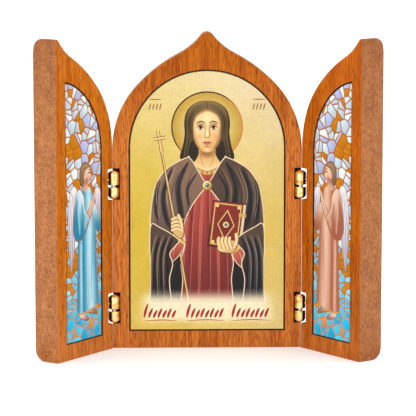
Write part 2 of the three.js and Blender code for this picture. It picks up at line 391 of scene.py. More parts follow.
def veneerFinish(tree, leaf):
    look = veneers[leaf.name]
    wood = addGroup(tree, grainGroup, {
        "Vector": leafPlace(tree, leaf), "Light": tone(*look["light"]), "Dark": tone(*look["dark"]),
        "Pore": tone(*look["pore"]), "Pores": grain["poreCover"]})
    # the height tint multiplies the grain: painted shade and deeper orange at the centre's crown, a paler
    # foot on the wings
    heightTintedWood = addMix(tree, 1.0, wood["Color"], heightTint(tree, *look["tintByHeight"]), "MULTIPLY")
    return {"Base Color": heightTintedWood, "Roughness": wood["Roughness"], "Specular IOR Level": grain["specular"],
            "Normal": addBump(tree, wood["Height"], *grain["relief"])}


def boardFinish(tree, leaf):
    flecks = addGroup(tree, fleckGroup, {
        "Vector": leafPlace(tree, leaf), "Light": tone(*board["light"]), "Dark": tone(*board["dark"]),
        "Fleck": tone(*board["fleck"])})
    # painted shade darkens the board edge towards its top
    crownShade = heightTint(tree, *board["crown"], *veneers[leaf.name]["edge"])
    # the lowest 14 mm of the board edge turn darker and more orange
    footTint = heightTint(tree, *board["foot"], board["footTint"], white)
    tintByHeight = addMix(tree, 1.0, crownShade, footTint, "MULTIPLY")
    return {"Base Color": addMix(tree, 1.0, flecks["Color"], tintByHeight, "MULTIPLY"),
            "Roughness": board["roughness"], "Specular IOR Level": board["specular"],
            "Normal": addBump(tree, flecks["Height"], *board["relief"])}


def brassFinish(tree):
    turning = stretchedNoise(tree, objectPlace(tree), brass["turning"])
    look = brass["tarnish"]
    patches = addNoise(tree, objectPlace(tree), look["scale"], look["detail"])
    tarnish = addRange(tree, patches, *look["range"])
    return {"Base Color": addMix(tree, tarnish, tone(*brass["bright"]), tone(*brass["tarnished"])),
            "Roughness": addRange(tree, turning, *brass["gloss"]), "Metallic": 1,
            "Normal": addBump(tree, turning, *brass["relief"])}


def mottledFinish(tree, look):
    noise = addNoise(tree, objectPlace(tree), *look["noise"])
    return {"Base Color": addMix(tree, noise, tone(*look["first"]), tone(*look["second"])),
            "Roughness": addRange(tree, noise, *look["gloss"]), "Metallic": look["metal"]}


scorchedWood = makeMaterial("scorchedWood", mottledFinish, scorched)
paleBrass = makeMaterial("paleBrass", brassFinish)
pinSteel = makeMaterial("pinSteel", mottledFinish, steel)
print("materials are ready")


# panels

panelFinish = {
    "edgeEase": 0.2 * mm,
    "easeSegments": 2,
    "easeAbove": 50,   # degrees
    "smoothBelow": 32,   # degrees
    "veneer": 0.02 * mm,   # faces no deeper than this are the front
    "bedGrow": 0.7 * mm,
    "bedDeepest": 2.3 * mm,
    "notchReach": 3.3 * mm,
    "notchDeepest": 3.2 * mm,
    "notchHalf": 7.5 * mm,
}
frontOn = 0.99   # how squarely a face looks along the leaf's depth
merging = {"distance": 1e-6, "flat": 0.5}   # metres and degrees


def mergedCopy(node):
    form = bmesh.new()
    form.from_mesh(frame["nodes"][node].data)
    bmesh.ops.remove_doubles(form, verts=form.verts, dist=merging["distance"])
    flat = math.radians(merging["flat"])
    bmesh.ops.dissolve_limit(form, angle_limit=flat, verts=form.verts, edges=form.edges)
    return form


def standIn(piece, body, node):
    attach(piece, body)
    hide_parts(node)


def makePanel(leaf, node, pictureNode):
    form = mergedCopy(node)
    low, high = leaf.span(pictureNode)
    panelLow, panelHigh = leaf.span(node)
    grow, veneer = panelFinish["bedGrow"], panelFinish["veneer"]
    pins = [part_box(name) for name in frame["nodes"] if name.endswith("_pin")]
    hingeHeights = [(bottom[2] + top[2]) / 2 for bottom, top in pins]
    for face in form.faces:
        centre = leaf.toLeaf @ face.calc_center_median()
        depth = centre.y - leaf.face
        inBed = (
            veneer < depth < panelFinish["bedDeepest"]
            and low.x - grow < centre.x < high.x + grow
            and low.z - grow < centre.z < high.z + grow
        )
        inNotch = (
            min(centre.x - panelLow.x, panelHigh.x - centre.x) < panelFinish["notchReach"]
            and veneer < depth < panelFinish["notchDeepest"]
            and min(abs(centre.z - height) for height in hingeHeights) < panelFinish["notchHalf"]
        )
        atFront = (leaf.toLeaf.to_3x3() @ face.normal).y < -frontOn and depth < veneer
        face.material_index = 0 if atFront else 2 if inBed or inNotch else 1
    materials = [makeMaterial(leaf.name + "Veneer", veneerFinish, leaf),
                 makeMaterial(leaf.name + "BoardEdge", boardFinish, leaf), scorchedWood]
    panel = finished(leaf.name + "Board", form, materials, panelFinish["smoothBelow"])
    ease = panel.modifiers.new("easedEdges", "BEVEL")
    ease.width = panelFinish["edgeEase"]
    ease.segments = panelFinish["easeSegments"]
    ease.limit_method = "ANGLE"
    ease.angle_limit = math.radians(panelFinish["easeAbove"])
    ease.harden_normals = True
    ease.miter_outer = "MITER_ARC"
    standIn(panel, leaf.body, node)


panelNodes = {
    "centre": ("centre_panel", "centre_picture"),
    "left": ("left_wing_panel", "left_wing_picture"),
    "right": ("right_wing_panel", "right_wing_picture"),
}
for side, (panelNode, pictureNode) in panelNodes.items():
    makePanel(leaves[side], panelNode, pictureNode)
print("panels are made")


# hinges

hingeLook = {
    "sides": 48,
    "domeSteps": 8,
    "smoothBelow": 40,   # degrees
    "boreDepth": 3.3 * mm,
    "ringSlack": 0.01 * mm,
    "chamfer": 0.18 * mm,
    "groove": 0.09 * mm,
    "grooveAt": 0.75 * mm,
    "thread": 0.5 * mm,
    "threadDepth": 0.18 * mm,
    "shankSides": 24,
    "shankCore": 1 * mm,
    "shankReach": 7.9 * mm,
    "shankSunk": 0.35 * mm,
    "shankNeck": 0.5 * mm,
    "pinSides": 32,
    "pinChamfer": 0.2 * mm,
    "left": (45, 135),   # degrees that the lower and the upper shanks point to
    "right": (135, 45),
}


def spun(profile, sides):
    form = bmesh.new()
    vertices = [form.verts.new((radius, 0, height)) for radius, height in profile]
    edges = [form.edges.new(pair) for pair in zip(vertices, vertices[1:])]
    bmesh.ops.spin(form, geom=vertices + edges, cent=(0, 0, 0), axis=(0, 0, 1), angle=math.tau, steps=sides,
                   use_merge=True)
    bmesh.ops.remove_doubles(form, verts=form.verts, dist=1e-7)
    bmesh.ops.recalc_face_normals(form, faces=form.faces)
    return form


def turned(form, angle, axis):
    bmesh.ops.rotate(form, verts=form.verts, cent=(0, 0, 0), matrix=Matrix.Rotation(angle, 3, axis))


def moved(form, axisPoint, height):
    bmesh.ops.translate(form, verts=form.verts, vec=(axisPoint[0], axisPoint[1], height))


def barrelRings(node, axisPoint):
    rings = {}
    for vertex in frame["nodes"][node].data.vertices:
        distance = math.hypot(vertex.co.x - axisPoint[0], vertex.co.y - axisPoint[1])
        rings.setdefault(round(vertex.co.z / mm, 2), []).append(distance)
    return rings


def makeShank(radius, turn):
    pitch, core = hingeLook["thread"], hingeLook["shankCore"]
    root = core - hingeLook["threadDepth"]
    along = radius + hingeLook["shankNeck"]
    profile = [(0, radius - hingeLook["shankSunk"]), (root, radius - hingeLook["shankSunk"]), (root, along)]
    while along + pitch < hingeLook["shankReach"]:
        profile += [(core, along + pitch / 2), (root, along + pitch)]
        along += pitch
    shank = spun(profile + [(0, along)], hingeLook["shankSides"])
    turned(shank, math.pi / 2, "Y")
    turned(shank, turn, "Z")
    return shank


def makeBarrel(node, axisPoint, body, domeUp, shankTurn):
    low, high = (corner[2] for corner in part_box(node))
    rings = barrelRings(node, axisPoint)
    flat = min(rings) if domeUp else max(rings)
    radius, bore = max(rings[flat]), min(rings[flat])
    slack = hingeLook["ringSlack"]
    shoulders = [height for height, ring in rings.items() if abs(max(ring) - radius) < slack]
    length = high - low
    shoulder = (max(shoulders) - flat if domeUp else flat - min(shoulders)) * mm
    chamfer, groove, grooveAt = hingeLook["chamfer"], hingeLook["groove"], hingeLook["grooveAt"]
    deep = hingeLook["boreDepth"]
    profile = [(0, deep), (bore, deep), (bore, 0), (radius - chamfer, 0), (radius, chamfer),
               (radius, grooveAt), (radius - groove, grooveAt + groove), (radius, grooveAt + 2 * groove)]
    steps = hingeLook["domeSteps"]
    for step in range(steps):
        angle = math.pi / 2 * step / steps
        profile.append((radius * math.cos(angle), shoulder + (length - shoulder) * math.sin(angle)))
    form = spun(profile + [(0, length)], hingeLook["sides"])
    if not domeUp:
        turned(form, math.pi, "X")
    moved(form, axisPoint, low if domeUp else high)
    shank = makeShank(radius, shankTurn)
    moved(shank, axisPoint, low + shoulder / 2 if domeUp else high - shoulder / 2)
    spare = bpy.data.meshes.new("shank")
    shank.to_mesh(spare)
    shank.free()
    form.from_mesh(spare)
    bpy.data.meshes.remove(spare)
    piece = finished(node + "Turned", form, [paleBrass], hingeLook["smoothBelow"])
    standIn(piece, body, node)


def makePin(node, axisPoint):
    low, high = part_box(node)
    radius, chamfer = (high[0] - low[0]) / 2, hingeLook["pinChamfer"]
    bottom, top = low[2], high[2]
    profile = [(0, bottom), (radius - chamfer, bottom), (radius, bottom + chamfer), (radius, top - chamfer),
               (radius - chamfer, top), (0, top)]
    form = spun(profile, hingeLook["pinSides"])
    moved(form, axisPoint, 0)
    piece = finished(node + "Wire", form, [pinSteel], hingeLook["smoothBelow"])
    standIn(piece, "centre_leaf", node)


def makeHinges():
    for joint in frame["joints"]:
        side = joint["child"].split("_")[0]
        axisPoint = joint["pos_m"]
        inward, outward = (math.radians(angle) for angle in hingeLook[side])
        for level in ("upper", "lower"):
            stem = level + "_" + side + "_hinge_"
            makeBarrel(stem + "top_barrel", axisPoint, joint["child"], True, leaves[side].turn + outward)
            makeBarrel(stem + "bottom_barrel", axisPoint, "centre_leaf", False, inward)
            makePin(stem + "pin", axisPoint)


makeHinges()
print("hinges are made")


# prints: flat shapes laid over one another as a painter would, kept as colours on the print's triangles

def curve(points, closed=True, steps=5):
    count = len(points)
    made = []
    for start in range(count if closed else count - 1):
        span = [start + offset for offset in (-1, 0, 1, 2)]
        span = [place % count if closed else min(max(place, 0), count - 1) for place in span]
        a, b, c, d = (np.array(points[place], float) for place in span)
        for step in range(steps):
            t = step / steps
            made.append(b + (c - a) * t / 2 + (a - 2.5 * b + 2 * c - d / 2) * t * t
                        + (1.5 * (b - c) + (d - a) / 2) * t ** 3)
    if not closed:
        made.append(np.array(points[-1], float))
    return np.array(made)


def mirrored(points, side):
    return [(side * x, z) for x, z in points]


def bothSides(half):
    return list(half) + [(-x, z) for x, z in reversed(half) if x != 0]


def widened(line, half):
    way = np.gradient(line, axis=0)
    way /= np.maximum(np.linalg.norm(way, axis=1), 1e-9)[:, None]
    across = np.stack([-way[:, 1], way[:, 0]], 1) * np.reshape(half, (-1, 1))
    return np.concatenate([line + across, (line - across)[::-1]])


def rim(outline, width):
    return widened(np.concatenate([outline, outline[:1]]), width / 2)


def stroke(points, width, ends):
    line = curve(points, False)
    along = np.linspace(0, 1, len(line))
    blunt = ends[0] * (1 - along) + ends[1] * along
    return widened(line, width / 2 * (blunt + (1 - blunt) * np.sin(np.pi * along) ** 0.7))


def ellipse(centre, radii, points=24):
    angles = np.linspace(0, math.tau, points, endpoint=False)
    return np.stack([np.cos(angles), np.sin(angles)], 1) * np.array(radii) + np.array(centre)


def ease(value, low, high):
    t = np.clip((value - low) / (high - low), 0, 1)
    return t * t * (3 - 2 * t)


def blend(first, second, amount):
    first, second = np.array(first, float), np.array(second, float)
    return first + (second - first) * np.asarray(amount)[..., None]


def fade(first, second, start, end):
    start, way = np.array(start, float), np.array(end, float) - np.array(start, float)
    return lambda places: blend(first, second, ease((places - start) @ way / (way @ way), 0, 1))


class Painting:
    def __init__(self, spacing, closer):
        self.spacing = spacing
        self.closer = closer   # rectangles whose soft shading needs points closer together
        self.layers = []
        self.zoom = (np.zeros(2), 1.0)   # the point about which the next shapes shrink, and their size

    def shape(self, points, paint, cover=1.0):
        middle, size = self.zoom

        def placed(value):
            return (lambda places: value(middle + (places - middle) / size)) if callable(value) else value
        outline = middle + (np.array(points, float) - middle) * size
        self.layers.append((outline, placed(paint), placed(cover)))

    def form(self, points, paint, edge=None, width=0.3, steps=5):
        outline = curve(points, steps=steps)
        self.shape(outline, paint)
        if edge is not None:
            self.shape(rim(outline, width), edge)

    def disc(self, centre, radius, points, paint):
        self.shape(ellipse(centre, radius, points), paint)

    def line(self, points, width, paint, cover=1.0, ends=(0.2, 0.2)):
        self.shape(stroke(points, width, ends), paint, cover)

    def softLine(self, points, width, paint, cover, ends=(0.1, 0.1)):
        for share in (1, 0.66, 0.33):
            self.line(points, width * share, paint, cover / 2.2, ends)

    def spot(self, centre, radii, paint, cover):
        def thinning(places):
            away = (places - np.array(centre, float)) / np.array(radii)
            return cover * np.clip(1 - (away ** 2).sum(1), 0, 1)
        for share in (1, 0.5):
            self.shape(ellipse(centre, (radii[0] * share, radii[1] * share), 16), paint, thinning)


def windings(places, polygon):
    x, z = places[:, 0], places[:, 1]
    turns = np.zeros(len(places), int)
    for (x1, z1), (x2, z2) in zip(polygon, np.roll(polygon, -1, 0)):
        side = (x2 - x1) * (z - z1) - (x - x1) * (z2 - z1)
        turns += ((z1 <= z) & (z2 > z) & (side > 0)).astype(int)
        turns -= ((z1 > z) & (z2 <= z) & (side < 0)).astype(int)
    return turns != 0


def insideOf(places, polygon):
    found = np.zeros(len(places), bool)
    near = ((places >= polygon.min(0)) & (places <= polygon.max(0))).all(1)
    found[near] = windings(places[near], polygon)
    return found


scatter = {"seed": 5, "row": 0.866, "stray": 0.06}


def gridPoints(low, high, spacing):
    dice = random.Random(scatter["seed"])
    rise, stray = spacing * scatter["row"], scatter["stray"]
    rows = []
    for row in range(int((high[1] - low[1]) / rise) + 1):
        for column in range(int((high[0] - low[0]) / spacing) + 1):
            x = low[0] + (column + 0.5 * (row % 2)) * spacing + dice.uniform(-stray, stray) * spacing
            z = low[1] + row * rise + dice.uniform(-stray, stray) * spacing
            rows.append((x, z))
    return np.array(rows)


def triangulated(painting, outline):
    places, edges = [], []
    for polygon in [outline] + [layer[0] for layer in painting.layers]:
        start = len(places)
        places.extend(polygon.tolist())
        edges.extend((start + i, start + (i + 1) % len(polygon)) for i in range(len(polygon)))
    for low, high, spacing in [(outline.min(0), outline.max(0), painting.spacing)] + painting.closer:
        points = gridPoints(low, high, spacing)
        places.extend(points[insideOf(points, outline)].tolist())
    result = delaunay_2d_cdt([Vector(place) for place in places], edges, [], 0, 1e-5, False)
    corners = np.array([tuple(place) for place in result[0]])
    faces = np.array([tuple(face) for face in result[2]])
    return corners, faces[insideOf(corners[faces].mean(1), outline)]


def coloured(painting, corners, faces):
    shown = np.zeros((len(faces), 3, 3))
    middles = corners[faces].mean(1)
    for polygon, paint, cover in painting.layers:
        found = np.nonzero(insideOf(middles, polygon))[0]
        if not len(found):
            continue
        places = corners[faces[found]].reshape(-1, 2)
        tint = paint(places) if callable(paint) else np.tile(np.array(paint, float), (len(places), 1))
        share = (cover(places) if callable(cover) else np.full(len(places), cover))[:, None]
        shown[found] = (shown[found].reshape(-1, 3) * (1 - share) + tint * share).reshape(-1, 3, 3)
    return linear(shown)


# a dark rim painted along each print's outline: painted shade of the narrow gap between print and pocket
gapShade = {"width": 0.6, "tone": (38, 24, 26), "cover": 0.85}


def paintedFront(leaf, corners, faces, colours):
    mesh = bpy.data.meshes.new("printFront")
    mesh.from_pydata([leaf.toWorld @ place for place in corners], [], faces.tolist())
    paint = mesh.color_attributes.new("paint", "FLOAT_COLOR", "CORNER")
    opaque = np.ones((colours.size // 3, 1))
    paint.data.foreach_set("color", np.concatenate([colours.reshape(-1, 3), opaque], 1).ravel())
    form = bmesh.new()
    form.from_mesh(mesh)
    bpy.data.meshes.remove(mesh)
    bmesh.ops.delete(form, geom=[vertex for vertex in form.verts if not vertex.link_faces], context="VERTS")
    return form


def makePrint(leaf, node, painting, ink, start=0.0, flip=1, lift=0.0):
    source = mergedCopy(node)
    straight = leaf.toLeaf.to_3x3()
    fronts = [face for face in source.faces if (straight @ face.normal).y < -frontOn]
    outline = [leaf.toLeaf @ vertex.co for vertex in max(fronts, key=lambda face: face.calc_area()).verts]
    source.free()
    low, high = leaf.span(node)
    flat = np.array([((point.x / mm - start) * flip, point.z / mm + lift) for point in outline])
    # the painted shade of the gap lies over the picture's edge as its last shape
    painting.shape(rim(flat, gapShade["width"]), gapShade["tone"], gapShade["cover"])
    corners, faces = triangulated(painting, flat)
    places = [Vector(((start + x * flip) * mm, low.y, (z - lift) * mm)) for x, z in corners]
    form = paintedFront(leaf, places, faces, coloured(painting, corners, faces))
    border = [edge for edge in form.edges if len(edge.link_faces) == 1]
    grown = bmesh.ops.extrude_edge_only(form, edges=border)["geom"]
    away = leaf.toWorld.to_3x3() @ Vector((0, high.y - low.y, 0))
    back = [item for item in grown if isinstance(item, bmesh.types.BMVert)]
    bmesh.ops.translate(form, verts=back, vec=away)
    backRim = [item for item in grown if isinstance(item, bmesh.types.BMEdge) and len(item.link_faces) == 1]
    for face in form.faces:
        face.material_index = 0 if abs((straight @ face.normal).y) > frontOn else 1
    for face in bmesh.ops.edgeloop_fill(form, edges=backRim)["faces"]:
        face.material_index = 1
    bmesh.ops.recalc_face_normals(form, faces=form.faces)
    piece = finished(leaf.name + "PrintedPanel", form, [ink, printCore])
    standIn(piece, leaf.body, node)
    print(piece.name, len(faces), "painted triangles")


# a print's ink comes from its colours; a faint weave and speckle lie over it, under satin lacquer

lacquer = {
    "threads": {"Scale": 320, "Distortion": 1.2, "Detail Scale": 3},
    "speckle": (1500, 3),
    "brushing": (260, 4, 0.65, 0.8),
    "specular": 0.16,
    "relief": (0.03 * mm, 0.15),
}
inks = {
    "linenPrint": {"strength": 0.88, "weave": 0.05, "speckle": 0.055, "roughness": 0.42},
    "glossPrint": {"strength": 0.98, "weave": 0.015, "speckle": 0.03, "roughness": 0.36},
}


def inkFinish(tree, look):
    ink = tree.nodes.new("ShaderNodeAttribute")
    ink.attribute_name = "paint"
    place = objectPlace(tree)
    threads = []
    for direction in ("X", "Z"):
        thread = addNode(tree, "TexWave", {"Vector": place, **lacquer["threads"]})
        thread.bands_direction = direction
        threads.append(thread.outputs["Fac"])
    strength, weave = look["strength"], look["weave"]
    cloth = addRange(tree, addMath(tree, "ADD", *threads), 0, 2, strength - weave, strength + weave)
    uneven = (0.3, 0.7, 1 - look["speckle"], 1 + look["speckle"])
    speckled = addRange(tree, addNoise(tree, place, *lacquer["speckle"]), *uneven)
    brushed = addRange(tree, addNoise(tree, place, *lacquer["brushing"]), *uneven)
    light = addMath(tree, "MULTIPLY", cloth, addMath(tree, "MULTIPLY", speckled, brushed))
    shown = addMix(tree, 1.0, ink.outputs["Color"], light, "MULTIPLY")
    return {"Base Color": shown, "Specular IOR Level": lacquer["specular"], "Roughness": look["roughness"],
            "Normal": addBump(tree, cloth, *lacquer["relief"])}


def coreFinish(tree):
    noise = addNoise(tree, objectPlace(tree), 1200, 3)
    return {"Base Color": addMix(tree, noise, tone(236, 226, 204), tone(206, 192, 166)), "Roughness": 0.8}


printCore = makeMaterial("printCore", coreFinish)
linenPrint, glossPrint = (makeMaterial(name, inkFinish, look) for name, look in inks.items())


# the saint: gold ground, halo, hair, red tunic, dark mantle, staff and book

gold = {
    "leftLow": (216, 184, 64), "rightLow": (220, 192, 102), "leftHigh": (222, 201, 132),
    "rightHigh": (228, 210, 172), "glow": (252, 240, 205), "mark": (146, 94, 48),
    "inscription": (176, 36, 34), "trim": (222, 184, 104), "stud": (240, 206, 130), "umber": (92, 54, 28),
    "braid": (110, 66, 36),
}
halo = {"middle": (0, 97), "radius": 15.2, "line": 0.58, "inner": (214, 191, 112), "outer": (195, 155, 63),
        "lit": (204, 122, 66), "dark": (34, 14, 14)}
skin = {"light": (242, 208, 148), "middle": (216, 168, 104), "shade": (158, 106, 60), "line": (92, 54, 32)}
hair = {"light": (134, 108, 64), "middle": (86, 68, 40), "dark": (42, 34, 24)}
tunic = {"light": (204, 104, 86), "middle": (174, 72, 60), "dark": (116, 42, 40), "crest": (236, 164, 142),
         "crease": (232, 160, 138)}
mantle = {"light": (134, 104, 84), "middle": (86, 66, 54), "dark": (28, 25, 30), "cool": (82, 96, 104),
          "edge": (238, 212, 172)}
square = (1, 1)


def goldGround(places):
    x, z = places[:, 0], places[:, 1]
    across, up = ease(x, -36, 36), ease(z, 50, 125)
    low = blend(gold["leftLow"], gold["rightLow"], across)
    high = blend(gold["leftHigh"], gold["rightHigh"], across)
    cloud = 4 * np.sin(x * 0.21 + 1.3 * np.sin(z * 0.09)) * np.sin(z * 0.13 + 0.7)
    foot = ease(z, 42, 8)[:, None] * np.array([10, 11, 26])
    return low + (high - low) * up[:, None] + foot + cloud[:, None] * np.array([0.7, 0.8, 1.6])


def paintGround(art):
    middle, radius = np.array(halo["middle"]), halo["radius"]

    def haloTone(places):
        return blend(halo["inner"], halo["outer"], ease(np.linalg.norm(places - middle, axis=1), 8, radius))

    def lineTone(places):
        away = places - middle
        return blend(halo["lit"], halo["dark"], ease(away[:, 1] - away[:, 0], -4, 12))
    art.shape([(-40, 0), (40, 0), (40, 130), (-40, 130)], goldGround)
    art.disc(middle, radius, 72, haloTone)
    art.shape(rim(curve(ellipse(middle, radius, 36)), halo["line"]), lineTone)
    for side in (-1, 1):
        for step in range(4):
            x = side * 22.4 + (step - 1.5) * 1.5
            art.line([(x - 0.35, 104.4), (x + 0.35, 107.4)], 0.6, gold["mark"], 0.9)
        art.line([(side * 22.4 - 2.8, 109), (side * 22.4 + 2.8, 109)], 0.5, gold["mark"], 0.85)


def paintGlow(art):
    def thinning(places):
        x, z = places[:, 0], places[:, 1]
        return 0.92 * ease(z, 26.5, 20.5) * ease(z, 9.6, 14) * ease(abs(x), 31.5, 24)
    art.shape([(-32, 9.5), (32, 9.5), (32, 26.8), (-32, 26.8)], gold["glow"], thinning)
    for first, count in ((-27, 7), (-8.4, 8), (11.4, 8)):
        for step in range(count):
            x = first + step * 2.05
            tall = 6.4 if step == 0 else 4.4 if step % 2 else 3.6
            art.line([(x - 0.5, 13.2), (x + 0.1, 13.2 + tall * 0.45), (x + 1.2, 13.2 + tall)], 1.15,
                     gold["inscription"], 1, (0.1, 0.05))
        art.line([(first - 1, 11.9), (first + count * 1.03, 12.3), (first + count * 2.05, 11.9)], 0.4,
                 gold["inscription"], 0.9, (0, 0))


def paintHair(art):
    half = [(0, 108.3), (-4.6, 107.5), (-8.3, 104.4), (-9.7, 99.5), (-9.5, 94), (-10.4, 88.5), (-11.6, 84),
            (-9.6, 81.4), (-5, 81.2), (0, 81)]
    art.form(bothSides(half), fade(hair["middle"], hair["dark"], (0, 108), (0, 84)), hair["dark"], 0.35)
    for side in (-1, 1):
        for start, turn, name in ((1.2, 8.8, "light"), (2.4, 8.2, "light"), (0.4, 9.3, "dark"),
                                  (3.4, 7.7, "dark"), (4.2, 7.3, "light")):
            lock = [(0.4, 107.6 - start * 0.3), (turn * 0.75, 104.8 - start * 0.25), (turn * 0.97, 99),
                    (turn * 0.99, 93), (turn + 1, 86), (turn + 1.2, 82.6)]
            art.line(mirrored(lock, side), 0.42, hair[name], 0.6)


def paintHead(art):
    shade = skin["shade"]
    paintHair(art)
    neck = [(0, 90), (-3.5, 89), (-3.6, 85.4), (-5.4, 82), (-7.4, 80.6), (-4, 78.4), (0, 77.4)]
    art.form(bothSides(neck), fade(skin["middle"], skin["light"], (0, 84.5), (0, 78)))
    art.spot((0, 86), (4.4, 3), shade, 0.95)
    for side in (-1, 1):
        art.line(mirrored([(2.9, 84.8), (2.2, 81.6), (0.6, 79.2)], side), 0.3, shade, 0.7)
    face = [(0, 104.6), (-3.4, 104.0), (-5.7, 101.6), (-6.35, 98), (-6.1, 94.2), (-5.1, 90.4), (-3.2, 87.2),
            (-1.4, 86.0), (0, 85.8)]
    art.form(bothSides(face), fade(skin["light"], skin["middle"], (-1, 98), (5.5, 88)), shade)
    for side, depth in ((-1, 0.5), (1, 0.85)):
        art.softLine(mirrored([(5.9, 99), (5.7, 94), (4.6, 90), (2.6, 87)], side), 1.9, shade, depth)
        art.spot((side * 2.8, 97.6), (2.3, 1.7), shade, 0.55)
        art.spot((side * 3.6, 92.8), (1.9, 1.7), (226, 150, 104), 0.3)
    brow = [(-5.6, 98), (-4.8, 101.4), (-2.2, 103.6), (0, 104.2), (2.2, 103.6), (4.8, 101.4), (5.6, 98)]
    art.softLine(brow, 1.3, shade, 0.7)
    art.spot((0, 100.6), (3.2, 2.2), (252, 226, 172), 0.55)
    art.spot((0, 87.2), (1.6, 1.2), (250, 220, 166), 0.5)
    paintFeatures(art)
    parted = [(0, 108.3), (-4.6, 107.6), (-7.9, 104.6), (-9, 100), (-8.4, 95), (-7.2, 90.5), (-6.0, 92.5),
              (-6.05, 98), (-4.9, 101.8), (-2.3, 103.8), (0, 104.6)]
    art.shape(curve(bothSides(parted)), fade(hair["light"], hair["middle"], (0, 108), (0, 98)), 0.96)
    for side in (-1, 1):
        for start in (0.3, 1.1, 1.9):
            lock = [(0, 107.6 - start * 0.8), (5.4 - start * 0.6, 105.5 - start * 0.6),
                    (8.1 - start * 0.5, 100), (7.6 - start * 0.3, 94)]
            art.line(mirrored(lock, side), 0.34, hair["dark"], 0.55)
    art.line([(0, 108), (0, 104.8)], 0.3, hair["dark"], 0.8)


def paintFeatures(art):
    shade, line = skin["shade"], skin["line"]
    for side in (-1, 1):
        eyebrow = mirrored([(0.9, 98.7), (2.7, 99.5), (4.9, 98.5)], side)
        art.line(eyebrow, 0.55, hair["dark"], 0.85, (0.6, 0.1))
        art.form(mirrored([(1.3, 96.5), (2.8, 97.35), (4.4, 96.6), (2.8, 95.9)], side), (240, 228, 200))
        art.disc((side * 2.8, 96.7), 0.72, 14, (84, 54, 30))
        art.disc((side * 2.8, 96.7), 0.36, 10, (20, 14, 12))
        art.line(mirrored([(1.1, 96.4), (2.8, 97.5), (4.7, 96.6)], side), 0.4, (60, 38, 26), 1, (0.4, 0.2))
        art.line(mirrored([(1.5, 96.1), (2.9, 95.7), (4.3, 96.3)], side), 0.22, line, 0.75)
        art.line(mirrored([(1.5, 98.0), (2.8, 98.5), (4.3, 97.9)], side), 0.18, shade, 0.9)
    art.softLine([(1.0, 98), (0.95, 95.6), (1.25, 93.2), (0.6, 92.5)], 0.7, shade, 0.8)
    art.line([(-0.75, 98.4), (-0.6, 95.8), (-1.0, 93.3), (-0.8, 92.7)], 0.24, line, 0.75)
    art.spot((0, 94.2), (0.75, 2.8), (252, 226, 174), 0.7)
    art.line([(-1.25, 92.9), (-0.5, 92.35), (0, 92.5), (0.5, 92.35), (1.25, 92.9)], 0.3, line, 0.75)
    art.form([(-2.0, 90.2), (-0.7, 90.75), (0, 90.55), (0.7, 90.75), (2.0, 90.2), (0, 89.95)], (186, 92, 66))
    art.form([(-1.6, 90.1), (0, 90.0), (1.6, 90.1), (0.8, 89.3), (0, 89.15), (-0.8, 89.3)], (206, 116, 84))
    art.line([(-2.1, 90.2), (0, 90.05), (2.1, 90.2)], 0.22, line, 0.9)
    art.spot((0, 88.5), (1.4, 0.5), shade, 0.6)


def paintTunic(art):
    cloth = fade(tunic["middle"], tunic["dark"], (-6, 70), (10, 24))
    art.shape([(-12, 82), (12, 82), (15, 20), (-15, 20)], cloth)
    folds = ((-6, -1.5, "dark", 1.6), (-2.6, -0.8, "light", 1.3), (0.4, 0.4, "dark", 1.5),
             (3.6, 1.0, "light", 1.4), (6.4, 1.6, "dark", 1.7), (-8.4, -2.2, "light", 1.2))
    for x, lean, name, width in folds:
        top, upper, lower, foot = x * 0.7, x + lean * 0.3, x + lean, x + lean * 1.4
        art.softLine([(top, 76), (upper, 60), (lower, 42), (foot, 21)], width, tunic[name], 0.75)
        ridge = [(top + 0.6, 72), (upper + 0.7, 58), (lower + 0.7, 40), (foot + 0.6, 24)]
        dip = [(top - 0.7, 70), (upper - 0.8, 56), (lower - 0.7, 41), (foot - 0.8, 23)]
        art.line(ridge, 0.24, tunic["crest"], 0.6)
        art.line(dip, 0.34, tunic["dark"], 0.6)


def paintCollar(art):
    for shift, width, paint, ends in ((0, 1.9, (214, 172, 92), 0.8), (0.85, 0.26, gold["braid"], 1),
                                      (-0.85, 0.26, gold["braid"], 1)):
        half = [(8.4, 82.6 + shift), (4.6, 78.6 + shift), (0, 76.9 + shift)]
        art.line(mirrored(half, -1) + half[1::-1], width, paint, 1, (ends, ends))
    for step in range(-3, 4):
        art.disc((step * 2.0, 77 + 0.13 * (step * 2.0) ** 2 * 0.55), 0.38, 8, (150, 52, 44))


